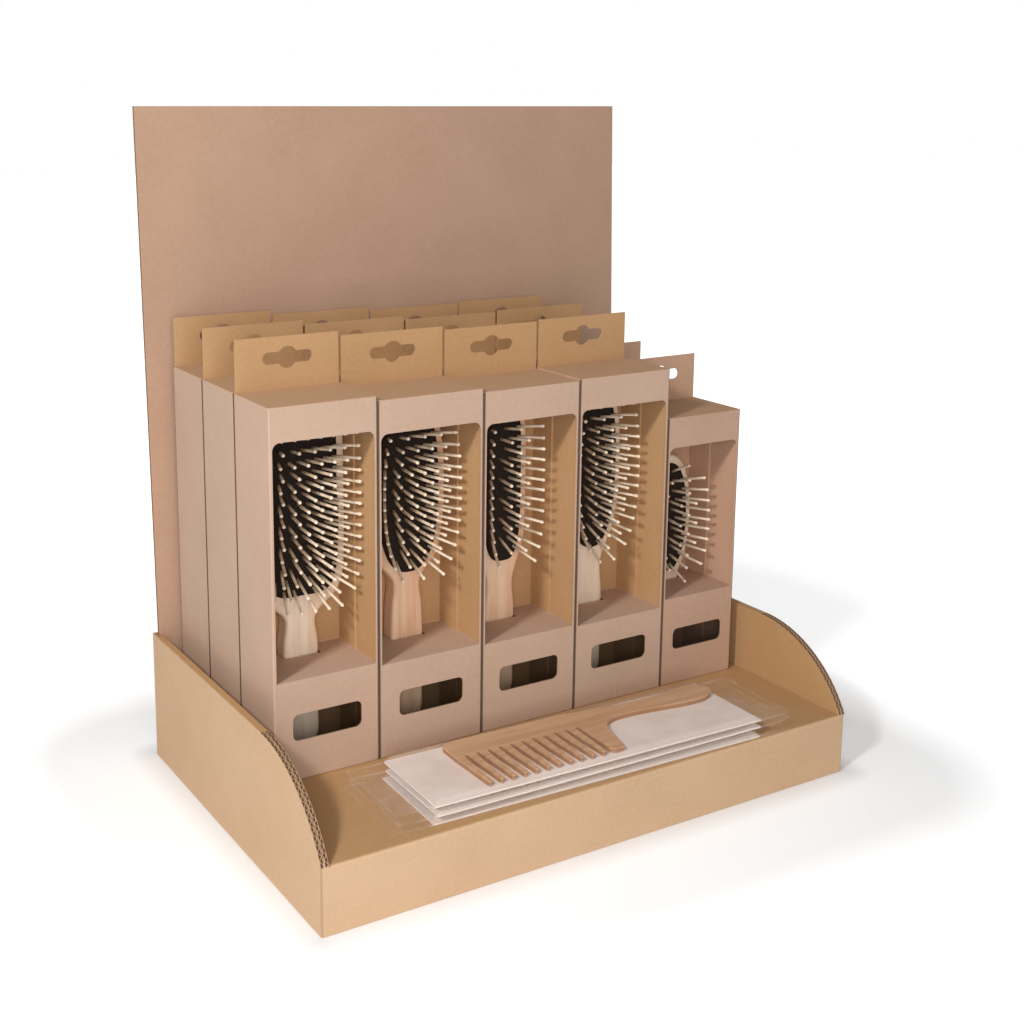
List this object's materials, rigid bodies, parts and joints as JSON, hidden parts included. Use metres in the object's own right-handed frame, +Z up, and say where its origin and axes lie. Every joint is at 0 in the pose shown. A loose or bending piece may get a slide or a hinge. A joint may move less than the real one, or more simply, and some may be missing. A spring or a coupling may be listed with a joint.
{
  "type": "countertop display stand",
  "caption": "Folded corrugated tray with a tall plain header panel, stocked with window cartons of hairbrushes in columns and flat comb packs in front.",
  "frame": {"origin": "middle of the tray's underside, on the surface that the stand rests on", "axes": "+X to the right as seen from the front, +Y towards the header panel, +Z up"},
  "size_m": [0.3998, 0.2749, 0.4512],
  "materials": {
    "corrugated_board": "uncoated brown kraft corrugated board",
    "carton_board": "uncoated brown folding boxboard",
    "brush_wood": "sanded pale beech",
    "pin_wood": "turned pale wood",
    "cushion_rubber": "matt black rubber",
    "clear_film": "clear packaging film",
    "backing_card": "pale coated card",
    "comb_wood": "sanded warm wood"
  },
  "bodies": {
    "root": {"tray": "corrugated_board", "header_panel": "corrugated_board", "carton_r1_c1": "carton_board", "carton_r2_c1": "carton_board", "carton_r3_c1": "carton_board", "brush_c1_body": "brush_wood", "brush_c1_cushion": "cushion_rubber", "brush_c1_pins": "pin_wood", "brush_r2_c1": "brush_wood", "brush_r3_c1": "brush_wood", "carton_r1_c2": "carton_board", "carton_r2_c2": "carton_board", "carton_r3_c2": "carton_board", "brush_c2_body": "brush_wood", "brush_c2_cushion": "cushion_rubber", "brush_c2_pins": "pin_wood", "brush_r2_c2": "brush_wood", "brush_r3_c2": "brush_wood", "carton_r1_c3": "carton_board", "carton_r2_c3": "carton_board", "carton_r3_c3": "carton_board", "brush_c3_body": "brush_wood", "brush_c3_cushion": "cushion_rubber", "brush_c3_pins": "pin_wood", "brush_r2_c3": "brush_wood", "brush_r3_c3": "brush_wood", "carton_r1_c4": "carton_board", "carton_r2_c4": "carton_board", "carton_r3_c4": "carton_board", "brush_c4_body": "brush_wood", "brush_c4_cushion": "cushion_rubber", "brush_c4_pins": "pin_wood", "brush_r2_c4": "brush_wood", "brush_r3_c4": "brush_wood", "carton_r1_c5": "carton_board", "carton_r2_c5": "carton_board", "brush_c5_body": "brush_wood", "brush_c5_cushion": "cushion_rubber", "brush_c5_pins": "pin_wood", "brush_r2_c5": "brush_wood", "comb_sleeve_1": "clear_film", "comb_card_1": "backing_card", "comb_1": "comb_wood", "comb_sleeve_2": "clear_film", "comb_card_2": "backing_card", "comb_2": "comb_wood", "comb_sleeve_3": "clear_film", "comb_card_3": "backing_card", "comb_3": "comb_wood"}
  },
  "joints": []
}
